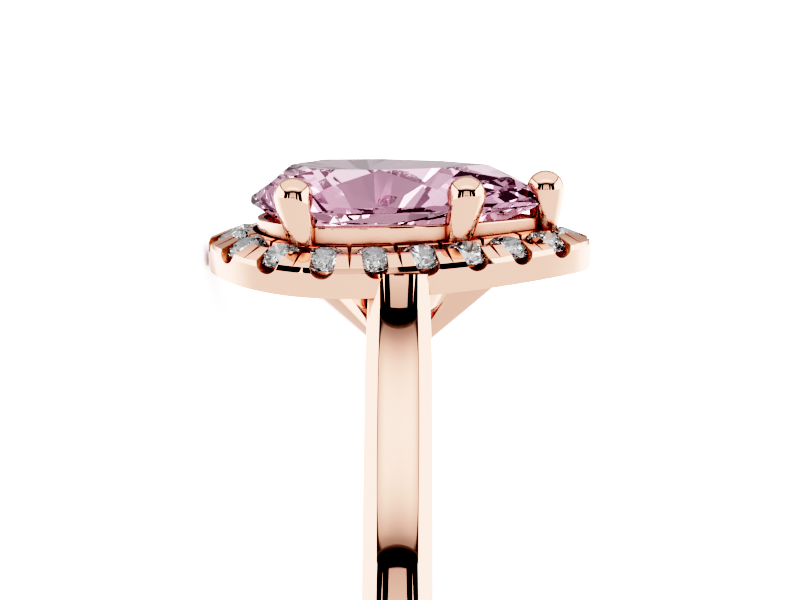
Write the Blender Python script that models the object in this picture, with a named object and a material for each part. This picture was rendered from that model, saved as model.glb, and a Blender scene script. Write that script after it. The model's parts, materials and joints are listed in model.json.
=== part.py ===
"""A rose gold halo ring: a pear-cut pink stone held by five prongs above a rim of round clear stones.

Lengths are millimetres. The ring is drawn upright, with the finger axis along X and the head at +Z,
and the empty that carries every piece lays it on its side, round end of the head down.
"""

import math

import bmesh
import bpy
from mathutils import Matrix, Vector

for old in list(bpy.data.objects):
    bpy.data.objects.remove(old, do_unlink=True)

MM = 0.001

# Band
FINGER_DIAMETER = 17.0
BAND_WIDTH = 2.1
BAND_THICKNESS = 1.6
SHOULDER_WIDTH = 1.96
SHOULDER_PROUD = 0.06
CREST_HALF_WIDTH = 0.57
CREST_DROP = 0.10
BEVEL_DROP = 0.33
EDGE_CHAMFER = 0.10
BRIDGE_WIDTH = 1.7
BRIDGE_THICKNESS = 1.2
BAND_SEGMENTS = 64

# Pear stone
PEAR_LENGTH = 10.0
PEAR_WIDTH = 6.0
PEAR_TIP_RADIUS = 0.5
PEAR_CROWN = 1.08
PEAR_GIRDLE = 0.20
PEAR_PAVILION = 2.4
PEAR_TABLE_SHARE = 0.655
PEAR_STAR_SHARE = 0.80
PEAR_STAR_RISE = 0.62
PEAR_WAIST_SHARE = 0.52
PEAR_WAIST_DEPTH = 0.60
PEAR_CENTRE_X = -1.0
PEAR_FACETS = 24
PEAR_RISE = 1.24

# Rim of round stones
HEAD_RISE = 4.5
ACCENT_COUNT = 19
ACCENT_DIAMETER = 1.3
ACCENT_OFFSET = 0.65
ACCENT_TILT = math.radians(21.0)
ACCENT_CROWN = 0.19
ACCENT_GIRDLE = 0.05
ACCENT_PAVILION = 0.55
ACCENT_TABLE_SHARE = 0.57
ACCENT_STAR_SHARE = 0.80
ACCENT_STAR_RISE = 0.60
ACCENT_WAIST_SHARE = 0.50
ACCENT_WAIST_DEPTH = 0.54
ACCENT_SIDES = 8
SEAT_HOLE_DIAMETER = 0.8
SEAT_HOLE_SIDES = 8

# Rim section: the reach of each edge from the pear's outline, and its height over the stones' plane.
# RIM_WALL is the metal left outside the round stones.
RAIL_INSET = 0.45
RAIL_WALL = 0.25
RAIL_TOP = 0.69
CHANNEL_FLOOR = 0.02
INNER_BEAD_INSET = 0.06
INNER_BEAD_WIDTH = 0.27
INNER_BEAD_TOP = 0.29
VALLEY_FLOOR = 0.0
OUTER_BEAD_WIDTH = 0.66
RIM_WALL = 0.13
RIM_BEVEL = 0.05
RIM_BEVEL_HEIGHT = 0.17
RIM_TOP = -0.03
RIM_BOTTOM = -1.0
RIM_BOW = 0.36
RIM_STEPS = 4

# Cuts in the rim
SCALLOP_WIDTH = 0.80
SCALLOP_FLOOR = -0.42
SCALLOP_STEPS = 6
SPLIT_WIDTH = 0.18
SPLIT_TOP = 0.30
SPLIT_FLOOR = -0.12
SPLIT_FALL = 0.20

# Prongs: head and foot diameters, and how far each stands from the pear's outline
PRONG_HEAD_DIAMETER = 1.26
PRONG_FOOT_DIAMETER = 0.62
TIP_PRONG_FOOT_DIAMETER = 0.50
PRONG_TOP = 2.26
PRONG_FOOT = -0.40
PRONG_DOME = 0.60
PRONG_DOME_LIFTS = (30.0, 55.0, 75.0)
PRONG_HEAD_OFFSET = 0.25
PRONG_FOOT_OFFSET = -0.20
TIP_PRONG_OFFSET = -0.13
PRONG_SIDES = 14

# Basket under the rim
BASKET_TOP = -0.60
BASKET_BASE_HEIGHT = 0.75
BASKET_BASE_X = 0.80
BASKET_BASE_Y = 1.30
BASKET_WALL = 0.50
BASKET_HOLLOW_LIFT = 1.0
BASKET_HOLLOW_X = 0.30
BASKET_HOLLOW_Y = 0.70
WINDOW_TOP = -1.70
WINDOW_HEIGHT = 1.30
WINDOW_HALF_WIDTH = 1.45
BASKET_SIDES = 32

# Clearances: between a stone and its seat, and how far a cutting tool runs past what it cuts
STONE_CLEARANCE = 0.05
CUT_MARGIN = 0.30

SMOOTH_ANGLE = math.radians(26.0)

# Where each prong's head and foot stand: shares of the way from the round end to the tip, and its side
PRONGS = (
    ("round_near", 0.262, 0.290, -1.0),
    ("round_far", 0.262, 0.290, 1.0),
    ("flank_near", 0.710, 0.685, -1.0),
    ("flank_far", 0.710, 0.685, 1.0),
    ("tip", 1.0, 1.0, -1.0),
)

FINGER_RADIUS = FINGER_DIAMETER / 2
BAND_RADIUS = FINGER_RADIUS + BAND_THICKNESS
STONE_PLANE = FINGER_RADIUS + HEAD_RISE
RIM_REACH = ACCENT_OFFSET + ACCENT_DIAMETER / 2 + RIM_WALL
PEAR_GIRDLE_Z = STONE_PLANE + PEAR_RISE

# The pear's outline is three arcs on each side: round end, flank and tip
END_RADIUS = PEAR_WIDTH / 2
END_X = END_RADIUS - PEAR_LENGTH / 2
TIP_X = PEAR_LENGTH / 2 - PEAR_TIP_RADIUS
FLANK_RADIUS = ((TIP_X - END_X) ** 2 + END_RADIUS ** 2 - PEAR_TIP_RADIUS ** 2) / (
    2 * (END_RADIUS - PEAR_TIP_RADIUS)
)
FLANK_TURN = math.atan2(TIP_X - END_X, FLANK_RADIUS - END_RADIUS)


def arc_lengths(offset):
    """Lengths of the three arcs of half the outline, moved outward by offset."""
    return (
        (END_RADIUS + offset) * math.pi / 2,
        (FLANK_RADIUS + offset) * FLANK_TURN,
        (PEAR_TIP_RADIUS + offset) * (math.pi / 2 - FLANK_TURN),
    )


def outline_frame(share, side, measured_at=0.0):
    """Point on the pear's outline and its outward direction.

    share runs from 0 at the round end to 1 at the tip, by length along the outline moved
    outward by measured_at. side is -1 for the near half and 1 for the far half.
    """
    end, flank, tip = arc_lengths(measured_at)
    run = share * (end + flank + tip)
    if run <= end:
        turn = run / end * math.pi / 2
        centre_x, centre_y, radius = END_X, 0.0, END_RADIUS
        direction = (-math.cos(turn), math.sin(turn))
    elif run <= end + flank:
        turn = (run - end) / flank * FLANK_TURN
        centre_x, centre_y, radius = END_X, END_RADIUS - FLANK_RADIUS, FLANK_RADIUS
        direction = (math.sin(turn), math.cos(turn))
    else:
        turn = FLANK_TURN + (run - end - flank) / tip * (math.pi / 2 - FLANK_TURN)
        centre_x, centre_y, radius = TIP_X, 0.0, PEAR_TIP_RADIUS
        direction = (math.sin(turn), math.cos(turn))
    x = centre_x + radius * direction[0]
    y = centre_y + radius * direction[1]
    return Vector((x, y * side, 0)), Vector((direction[0], direction[1] * side, 0))


def outline_at(turns, measured_at=0.0):
    """As outline_frame, for a place counted once round the outline, 0 to 1 from the round end."""
    turns = turns % 1.0
    if turns <= 0.5:
        return outline_frame(2 * turns, -1.0, measured_at)
    return outline_frame(2 * (1 - turns), 1.0, measured_at)


def bow(y):
    """How far the rim dips below the stones' plane, so that it follows the finger."""
    return RIM_BOW * (y / (END_RADIUS + RIM_REACH)) ** 2


def plain_material(name, colour, metallic, roughness, transmission=0.0, ior=1.5):
    material = bpy.data.materials.new(name)
    material.use_nodes = True
    shader = material.node_tree.nodes["Principled BSDF"]
    shader.inputs["Base Color"].default_value = (*colour, 1.0)
    shader.inputs["Metallic"].default_value = metallic
    shader.inputs["Roughness"].default_value = roughness
    shader.inputs["Transmission Weight"].default_value = transmission
    shader.inputs["IOR"].default_value = ior
    return material


rose_gold = plain_material("rose_gold", (0.84, 0.56, 0.42), 1.0, 0.08)
pink_stone = plain_material("pink_stone", (0.80, 0.42, 0.58), 0.0, 0.02, 0.9, 1.6)
clear_stone = plain_material("clear_stone", (0.95, 0.96, 0.97), 0.0, 0.02, 0.9, 2.4)

rest = bpy.data.objects.new("ring_rest", None)
bpy.context.collection.objects.link(rest)
metal_pieces = bpy.data.collections.new("metal_pieces")
cutters = bpy.data.collections.new("cutters")
bpy.context.scene.collection.children.link(metal_pieces)
bpy.context.scene.collection.children.link(cutters)


def add_object(name, mesh, collection=None, material=None):
    """Link a mesh as an object on the ring; one in a helper collection is only a tool."""
    thing = bpy.data.objects.new(name, mesh)
    (collection or bpy.context.scene.collection).objects.link(thing)
    thing.parent = rest
    if material:
        mesh.materials.append(material)
    if collection:
        thing.hide_render = True
        thing.display_type = "WIRE"
    return thing


def mesh_from(name, bm):
    bmesh.ops.recalc_face_normals(bm, faces=bm.faces)
    mesh = bpy.data.meshes.new(name)
    bm.to_mesh(mesh)
    bm.free()
    return mesh


def loft(name, rings, closed):
    """Skin equal rings of points; closed joins the last ring to the first, else ends are capped."""
    bm = bmesh.new()
    rows = [[bm.verts.new(point * MM) for point in ring] for ring in rings]
    pairs = list(zip(rows, rows[1:]))
    if closed:
        pairs.append((rows[-1], rows[0]))
    for row, after in pairs:
        for i in range(len(row)):
            j = (i + 1) % len(row)
            bm.faces.new((row[i], row[j], after[j], after[i]))
    if not closed:
        bm.faces.new(rows[0])
        bm.faces.new(rows[-1])
    return mesh_from(name, bm)


def rounded(mesh):
    """Shade as one round surface the faces that meet at less than SMOOTH_ANGLE."""
    mesh.shade_smooth()
    mesh.set_sharp_from_angle(angle=SMOOTH_ANGLE)
    return mesh


def hull(name, points):
    """The convex solid round a set of points, with its flat facets whole."""
    bm = bmesh.new()
    for point in points:
        bm.verts.new(point * MM)
    bmesh.ops.convex_hull(bm, input=bm.verts)
    bmesh.ops.dissolve_limit(bm, angle_limit=math.radians(0.5), verts=bm.verts, edges=bm.edges)
    return mesh_from(name, bm)


def turned(name, sections, sides, place):
    """A turned solid: sections are (radius, height) from foot to top, place its matrix."""
    rings = []
    for radius, height in sections:
        angles = [2 * math.pi * (i + 0.5) / sides for i in range(sides)]
        rings.append([place @ Vector((radius * math.cos(a), radius * math.sin(a), height)) for a in angles])
    return rounded(loft(name, rings, closed=False))


def axis_matrix(origin, along, across):
    """Matrix whose Z runs along a direction and whose X lies nearest across."""
    z = along.normalized()
    y = z.cross(across).normalized()
    x = y.cross(z)
    return Matrix.Translation(origin) @ Matrix((x, y, z)).transposed().to_4x4()


# Band: one horseshoe from shoulder to shoulder, and a lighter bridge under the head
def band_section(width):
    """Half-width steps and drops below the crest, from one foot of the section to the other."""
    half = width / 2
    outer = [
        (-half, BEVEL_DROP + EDGE_CHAMFER),
        (EDGE_CHAMFER - half, BEVEL_DROP),
        (-CREST_HALF_WIDTH, CREST_DROP),
        (-CREST_HALF_WIDTH / 2, CREST_DROP / 4),
    ]
    crest = outer + [(0.0, 0.0)] + [(-x, drop) for x, drop in reversed(outer)]
    foot = BAND_THICKNESS + CUT_MARGIN
    return crest + [(half, foot), (-half, foot)]


def shoulder_line():
    """Where the crest leaves the band's circle, and where it meets the rim, on the near side."""
    reach = END_RADIUS + RIM_REACH
    end = Vector((0, -(reach + SHOULDER_PROUD), STONE_PLANE + RIM_TOP - RIM_BEVEL_HEIGHT - bow(reach)))
    bearing = math.atan2(end.z, -end.y)
    turn = bearing - math.acos(BAND_RADIUS / end.length)
    start = Vector((0, -BAND_RADIUS * math.cos(turn), BAND_RADIUS * math.sin(turn)))
    return start, end, turn


def horseshoe_path():
    """Crest points with their outward directions, from the near shoulder round to the far one."""
    start, end, turn = shoulder_line()
    out = Vector((0, -math.cos(turn), math.sin(turn)))
    near = [(end, out, SHOULDER_WIDTH)]
    count = round((math.pi / 2 + turn) / (2 * math.pi) * BAND_SEGMENTS)
    step = (math.pi / 2 + turn) / (count + 0.5)
    for i in range(count + 1):
        angle = turn - i * step
        out = Vector((0, -math.cos(angle), math.sin(angle)))
        near.append((out * BAND_RADIUS, out, BAND_WIDTH))
    far = []
    for point, out, width in reversed(near):
        far.append((Vector((0, -point.y, point.z)), Vector((0, -out.y, out.z)), width))
    return near + far


band_rings = []
for point, out, width in horseshoe_path():
    section = band_section(width)
    band_rings.append([point + Vector((x, 0, 0)) - out * drop for x, drop in section])
add_object("band", rounded(loft("band", band_rings, closed=False)), metal_pieces)

_, _, bridge_turn = shoulder_line()
bridge_rings = []
for i in range(BAND_SEGMENTS // 2 + 1):
    angle = bridge_turn + (math.pi - 2 * bridge_turn) * i / (BAND_SEGMENTS // 2)
    out = Vector((0, -math.cos(angle), math.sin(angle)))
    inner = FINGER_RADIUS - CUT_MARGIN
    outer = FINGER_RADIUS + BRIDGE_THICKNESS
    half = BRIDGE_WIDTH / 2
    corners = ((-half, inner), (-half, outer), (half, outer), (half, inner))
    bridge_rings.append([Vector((x, 0, 0)) + out * radius for x, radius in corners])
add_object("bridge", loft("bridge", bridge_rings, closed=False), metal_pieces)

bore_sections = [(FINGER_RADIUS / math.cos(math.pi / BAND_SEGMENTS), h) for h in (-BAND_WIDTH, BAND_WIDTH)]
bore_place = axis_matrix(Vector(), Vector((1, 0, 0)), Vector((0, 0, -1)))
add_object("finger_bore", turned("finger_bore", bore_sections, BAND_SEGMENTS, bore_place), cutters)


# Rim: rail, inner beads, valley, outer beads and wall are one section carried round the pear
def rim_section():
    """Reach, height and share of the bow for each edge; the top of the rail alone stays level."""
    rail_out = RAIL_WALL - RAIL_INSET
    bead_out = INNER_BEAD_WIDTH - INNER_BEAD_INSET
    top_out = RIM_REACH - RIM_BEVEL
    outer_bead = top_out - OUTER_BEAD_WIDTH
    outer_bead_top = RIM_TOP + OUTER_BEAD_WIDTH * math.tan(ACCENT_TILT)
    return (
        (-RAIL_INSET, BASKET_TOP, 1.0),
        (-RAIL_INSET, RAIL_TOP, 0.0),
        (rail_out, RAIL_TOP, 0.0),
        (rail_out, CHANNEL_FLOOR, 1.0),
        (-INNER_BEAD_INSET, CHANNEL_FLOOR, 1.0),
        (-INNER_BEAD_INSET, INNER_BEAD_TOP, 1.0),
        (bead_out, INNER_BEAD_TOP, 1.0),
        (bead_out + INNER_BEAD_INSET, VALLEY_FLOOR, 1.0),
        (outer_bead - INNER_BEAD_INSET, VALLEY_FLOOR, 1.0),
        (outer_bead, outer_bead_top, 1.0),
        (top_out, RIM_TOP, 1.0),
        (RIM_REACH, RIM_TOP - RIM_BEVEL_HEIGHT, 1.0),
        (RIM_REACH, RIM_BOTTOM, 1.0),
        (0.0, RIM_BOTTOM, 1.0),
    )


rim_rings = []
rim_stations = ACCENT_COUNT * RIM_STEPS
for i in range(rim_stations):
    point, out = outline_at((i + 0.5) / rim_stations, ACCENT_OFFSET)
    rim_ring = []
    for reach, height, bowed in rim_section():
        place = point + out * reach
        rim_ring.append(place + Vector((0, 0, STONE_PLANE + height - bowed * bow(place.y))))
    rim_rings.append(rim_ring)
ring = add_object("rose_gold_ring", loft("rose_gold_ring", rim_rings, closed=True), None, rose_gold)


# Basket: a hollow cup that narrows from the rail to a foot on the bridge, with a flat panel near and far
def basket_outline(turns):
    """As outline_at, but straight between the two claws of the near side and of the far side."""
    point, out = outline_at(turns)
    share, side = (2 * turns, -1.0) if turns <= 0.5 else (2 * (1 - turns), 1.0)
    first, last = PRONGS[0][1], PRONGS[2][1]
    if first < share < last:
        start = outline_frame(first, side)[0]
        end = outline_frame(last, side)[0]
        point = start.lerp(end, (share - first) / (last - first))
    return point, out


def basket_rings(inset, top, foot, base_x, base_y):
    upper, lower = [], []
    for i in range(BASKET_SIDES):
        point, out = basket_outline((i + 0.5) / BASKET_SIDES)
        upper.append(point - out * inset + Vector((0, 0, top)))
        lower.append(Vector((out.x * base_x, out.y * base_y, foot)))
    return [lower, upper]


basket_foot = FINGER_RADIUS + BASKET_BASE_HEIGHT
basket_top = STONE_PLANE + BASKET_TOP
cup_top = basket_top + BASKET_WALL / 2
outer_cup = basket_rings(RAIL_INSET - RAIL_WALL, cup_top, basket_foot, BASKET_BASE_X, BASKET_BASE_Y)
add_object("basket", loft("basket", outer_cup, closed=False), metal_pieces)
hollow_foot = basket_foot + BASKET_HOLLOW_LIFT
inner_cup = basket_rings(RAIL_INSET, cup_top + CUT_MARGIN, hollow_foot, BASKET_HOLLOW_X, BASKET_HOLLOW_Y)
add_object("basket_hollow", loft("basket_hollow", inner_cup, closed=False), cutters)

window_top = STONE_PLANE + WINDOW_TOP
window = []
for y in (-END_RADIUS, END_RADIUS):
    window.append(
        [
            Vector((-WINDOW_HALF_WIDTH, y, window_top)),
            Vector((WINDOW_HALF_WIDTH, y, window_top)),
            Vector((0, y, window_top - WINDOW_HEIGHT)),
        ]
    )
add_object("basket_window", loft("basket_window", window, closed=False), cutters)


# Prongs
for name, head_share, foot_share, side in PRONGS:
    head_point, head_out = outline_frame(head_share, side)
    foot_point, foot_out = outline_frame(foot_share, side)
    is_tip = name == "tip"
    foot_offset = TIP_PRONG_OFFSET if is_tip else PRONG_FOOT_OFFSET
    head_offset = TIP_PRONG_OFFSET if is_tip else PRONG_HEAD_OFFSET
    foot_radius = (TIP_PRONG_FOOT_DIAMETER if is_tip else PRONG_FOOT_DIAMETER) / 2
    head_radius = PRONG_HEAD_DIAMETER / 2
    foot_z = STONE_PLANE + PRONG_FOOT - bow(foot_point.y)
    prong_foot = foot_point + foot_out * foot_offset + Vector((0, 0, foot_z))
    prong_head = head_point + head_out * head_offset + Vector((0, 0, STONE_PLANE + PRONG_TOP))
    height = (prong_head - prong_foot).length
    sections = [(foot_radius, 0.0), (head_radius, height - PRONG_DOME)]
    for lift in PRONG_DOME_LIFTS:
        angle = math.radians(lift)
        sections.append((head_radius * math.cos(angle), height - PRONG_DOME * (1 - math.sin(angle))))
    place = axis_matrix(prong_foot, prong_head - prong_foot, head_out)
    prong_name = "prong_" + name
    add_object(prong_name, turned(prong_name, sections, PRONG_SIDES, place), metal_pieces)


# Stones
def pear_facets(grow):
    """Corner points of the pear stone, with every face moved out by about grow."""
    points = []
    centre = Vector((PEAR_CENTRE_X, 0, 0))
    girdle_top = PEAR_GIRDLE_Z + PEAR_GIRDLE / 2
    girdle_foot = PEAR_GIRDLE_Z - PEAR_GIRDLE / 2
    sharp_tip = Vector((PEAR_LENGTH / 2, 0, 0))
    for i in range(PEAR_FACETS):
        point, out = outline_at(i / PEAR_FACETS)
        if i == PEAR_FACETS // 2:
            point = sharp_tip
        rim_point = point + out * grow
        points.append(rim_point + Vector((0, 0, girdle_top)))
        points.append(rim_point + Vector((0, 0, girdle_foot)))
        if i % 2 == 0:
            table = centre.lerp(point, PEAR_TABLE_SHARE) + out * grow
            points.append(table + Vector((0, 0, girdle_top + PEAR_CROWN + grow)))
            waist = centre.lerp(point, PEAR_WAIST_SHARE) + out * grow
            points.append(waist + Vector((0, 0, girdle_foot - PEAR_PAVILION * PEAR_WAIST_DEPTH - grow)))
        else:
            star = centre.lerp(point, PEAR_STAR_SHARE) + out * grow
            points.append(star + Vector((0, 0, girdle_top + PEAR_CROWN * PEAR_STAR_RISE + grow)))
    points.append(centre + Vector((0, 0, girdle_foot - PEAR_PAVILION - grow)))
    return points


def accent_facets(grow):
    """Corner points of a round stone about its own girdle centre, grown by about grow."""
    radius = ACCENT_DIAMETER / 2
    half = ACCENT_GIRDLE / 2
    sides = ACCENT_SIDES
    table_z = half + ACCENT_CROWN + grow
    star_z = half + ACCENT_CROWN * ACCENT_STAR_RISE + grow
    waist_z = -half - ACCENT_PAVILION * ACCENT_WAIST_DEPTH - grow
    points = []
    for i in range(2 * sides):
        angle = math.pi * (i + 0.5) / sides
        ray = Vector((math.cos(angle), math.sin(angle), 0))
        points.append(ray * (radius + grow) + Vector((0, 0, half)))
        points.append(ray * (radius + grow) + Vector((0, 0, -half)))
    for i in range(sides):
        angle = 2 * math.pi * i / sides
        ray = Vector((math.cos(angle), math.sin(angle), 0))
        between = Vector((math.cos(angle + math.pi / sides), math.sin(angle + math.pi / sides), 0))
        points.append(ray * (radius * ACCENT_TABLE_SHARE + grow) + Vector((0, 0, table_z)))
        points.append(between * (radius * ACCENT_STAR_SHARE + grow) + Vector((0, 0, star_z)))
        points.append(ray * (radius * ACCENT_WAIST_SHARE + grow) + Vector((0, 0, waist_z)))
    points.append(Vector((0, 0, -half - ACCENT_PAVILION - grow)))
    return points


add_object("pear_stone", hull("pear_stone", pear_facets(0.0)), None, pink_stone)
add_object("pear_seat", hull("pear_seat", pear_facets(STONE_CLEARANCE)), cutters)

accent_mesh = hull("halo_stone", accent_facets(0.0))
accent_mesh.materials.append(clear_stone)
seat_mesh = hull("stone_seat", accent_facets(STONE_CLEARANCE))
hole_sections = [(SEAT_HOLE_DIAMETER / 2, -3 * ACCENT_PAVILION), (SEAT_HOLE_DIAMETER / 2, -ACCENT_GIRDLE)]
hole_mesh = turned("seat_hole", hole_sections, SEAT_HOLE_SIDES, Matrix.Identity(4))


def scallop_outline():
    """The round-bottomed cut before each stone: steps along the rim and heights."""
    radius = SCALLOP_WIDTH / 2
    centre = SCALLOP_FLOOR + radius
    points = [(-radius, INNER_BEAD_TOP + CUT_MARGIN)]
    for i in range(SCALLOP_STEPS + 1):
        angle = math.pi + math.pi * i / SCALLOP_STEPS
        points.append((radius * math.cos(angle), centre + radius * math.sin(angle)))
    points.append((radius, INNER_BEAD_TOP + CUT_MARGIN))
    return points


def radial_cut(name, outline, place, inner, outer, fall):
    """A cut of one outline along the outward direction, its height falling with the reach."""
    rings = []
    for reach in (inner, outer):
        rings.append([place @ Vector((reach, step, height - fall * reach)) for step, height in outline])
    add_object(name, loft(name, rings, closed=False), cutters)


def outward_matrix(turns):
    """Matrix at a place on the outline, X outward along the bowed rim, Z square to it."""
    point, out = outline_at(turns, ACCENT_OFFSET)
    slope = 2 * bow(point.y) / point.y if point.y else 0.0
    up = Vector((0, slope, 1)).normalized()
    out = (out - up * out.dot(up)).normalized()
    place = Matrix.Translation(point + Vector((0, 0, STONE_PLANE - bow(point.y))))
    return place @ Matrix((out, up.cross(out), up)).transposed().to_4x4()


for i in range(ACCENT_COUNT):
    label = f"{i + 1:02d}"
    turns = (i + 0.5) / ACCENT_COUNT
    place = outward_matrix(turns)
    tilt = Matrix.Rotation(ACCENT_TILT, 4, "Y")
    seat = place @ Matrix.Translation(Vector((ACCENT_OFFSET, 0, 0))) @ tilt
    seat.translation = seat.translation * MM
    stone = add_object("halo_stone_" + label, accent_mesh)
    stone.matrix_local = seat
    for cut_name, cut_mesh in (("stone_seat_", seat_mesh), ("seat_hole_", hole_mesh)):
        cutter = add_object(cut_name + label, cut_mesh, cutters)
        cutter.matrix_local = seat
    cut_end = RIM_REACH + CUT_MARGIN
    radial_cut("scallop_" + label, scallop_outline(), place, ACCENT_OFFSET, cut_end, 0.0)
    between = outward_matrix(i / ACCENT_COUNT)
    split = [(-SPLIT_WIDTH / 2, SPLIT_TOP), (0.0, SPLIT_FLOOR), (SPLIT_WIDTH / 2, SPLIT_TOP)]
    radial_cut("split_" + label, split, between, -2 * INNER_BEAD_INSET, cut_end, SPLIT_FALL)

# Join the metal and cut it
join = ring.modifiers.new("join", "BOOLEAN")
join.operation = "UNION"
join.operand_type = "COLLECTION"
join.collection = metal_pieces
join.solver = "EXACT"
cut = ring.modifiers.new("cut", "BOOLEAN")
cut.operation = "DIFFERENCE"
cut.operand_type = "COLLECTION"
cut.collection = cutters
cut.solver = "EXACT"

# Lay the ring down: it leans from the edge of the band to the low rim at the head's round end
rim_edge = Vector((-(PEAR_LENGTH / 2 + RIM_REACH), 0, STONE_PLANE + RIM_BOTTOM))
band_edge = Vector((-BAND_WIDTH / 2, 0, BEVEL_DROP + EDGE_CHAMFER - BAND_RADIUS))
lean = math.atan2(band_edge.x - rim_edge.x, rim_edge.z - band_edge.z)
across = Vector((0, 1, 0))
finger = Vector((math.sin(lean), 0, math.cos(lean)))
head = Vector((-math.cos(lean), 0, math.sin(lean)))
rest.matrix_world = Matrix((finger, head.cross(finger), head)).transposed().to_4x4()
bpy.context.view_layer.update()
depsgraph = bpy.context.evaluated_depsgraph_get()
corners = []
for thing in bpy.context.scene.objects:
    if thing.type == "MESH" and not thing.hide_render:
        shape = thing.evaluated_get(depsgraph)
        corners.extend(shape.matrix_world @ vertex.co for vertex in shape.data.vertices)
low = Vector([min(corner[axis] for corner in corners) for axis in range(3)])
high = Vector([max(corner[axis] for corner in corners) for axis in range(3)])
rest.location = -Vector(((low.x + high.x) / 2, (low.y + high.y) / 2, low.z))
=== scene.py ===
import json
import math

import bpy
from mathutils import Matrix, Vector

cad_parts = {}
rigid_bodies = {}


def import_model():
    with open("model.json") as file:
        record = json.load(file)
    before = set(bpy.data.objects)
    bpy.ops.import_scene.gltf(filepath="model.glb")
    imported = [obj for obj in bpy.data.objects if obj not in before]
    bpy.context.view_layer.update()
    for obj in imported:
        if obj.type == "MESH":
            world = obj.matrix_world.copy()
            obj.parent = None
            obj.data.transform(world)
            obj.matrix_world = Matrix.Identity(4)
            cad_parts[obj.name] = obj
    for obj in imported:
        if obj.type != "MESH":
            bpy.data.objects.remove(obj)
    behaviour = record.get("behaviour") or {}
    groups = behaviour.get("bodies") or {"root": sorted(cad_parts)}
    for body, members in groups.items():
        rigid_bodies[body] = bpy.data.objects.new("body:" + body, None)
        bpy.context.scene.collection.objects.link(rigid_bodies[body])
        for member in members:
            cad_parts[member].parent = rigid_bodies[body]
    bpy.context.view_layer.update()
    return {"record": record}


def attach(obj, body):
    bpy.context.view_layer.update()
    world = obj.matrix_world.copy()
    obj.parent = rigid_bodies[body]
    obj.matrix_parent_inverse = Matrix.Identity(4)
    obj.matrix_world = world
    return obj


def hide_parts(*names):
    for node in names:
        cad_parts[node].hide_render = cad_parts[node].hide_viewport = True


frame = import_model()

# Finger band
# The solid shank of the ring, cast in 14 carat rose gold: a low domed middle between two flat bevels. At
# the top each side curves upright and is soldered to the wall of the rim. Polished bright on a buffing wheel.
MM = 0.001
FINGER_RADIUS = 8.5
BAND_WIDTH = 2.1
BAND_THICKNESS = 1.6
SHOULDER_WIDTH = 1.9
SHOULDER_TOP = 12.42
SHANK_LEAVES_ROUND = 5.3
SHOULDER_WAIST = 7.8
SHOULDER_LEAN = math.radians(35.5)
SHOULDER_TOP_LEAN = math.radians(8.0)
SHOULDER_EARLY_TURN = 0.7
SHOULDER_TAPER = 2.4
CREST_HALF_WIDTH = 0.61
CREST_EASE = 0.16
CREST_DROP = 0.10
BEVEL_DROP = 0.33
EDGE_CHAMFER = 0.10
BAND_STEPS = 96
SHOULDER_STEPS = 72
DOME_STEPS = 10
EASE_STEPS = 4
EASE_LIMIT = 0.45
WELD_REACH = 0.0001
SHARP_ANGLE = math.radians(24.0)
ROSE_GOLD = (0.90, 0.535, 0.42, 1.0)
# Painted shade: the dark colour laid into nooks and creases wherever ambient occlusion finds them sheltered.
PAINTED_SHADE_GOLD = (0.30, 0.075, 0.035, 1.0)
NOOK_REACH = 0.55
NOOK_SHADE = (0.97, 0.30)
MARK_SCALE = 2600.0
MARK_SPREAD = (0.35, 0.65)
WAVE_SCALE = 420.0
WAVE_DEPTH = 0.05

# The ring lies on its side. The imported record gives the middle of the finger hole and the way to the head.
hole_low, hole_high = frame["record"]["physics"]["openings"][0]["box_m"]
hole_centre = (Vector(hole_low) + Vector(hole_high)) / 2
head_way = Vector(frame["record"]["mounts"][0]["axis"]).normalized()
depth_way = Vector((0, 1, 0))
finger_way = depth_way.cross(head_way)
lying = Matrix.Translation(hole_centre) @ Matrix((finger_way, depth_way, head_way)).transposed().to_4x4()


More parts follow.
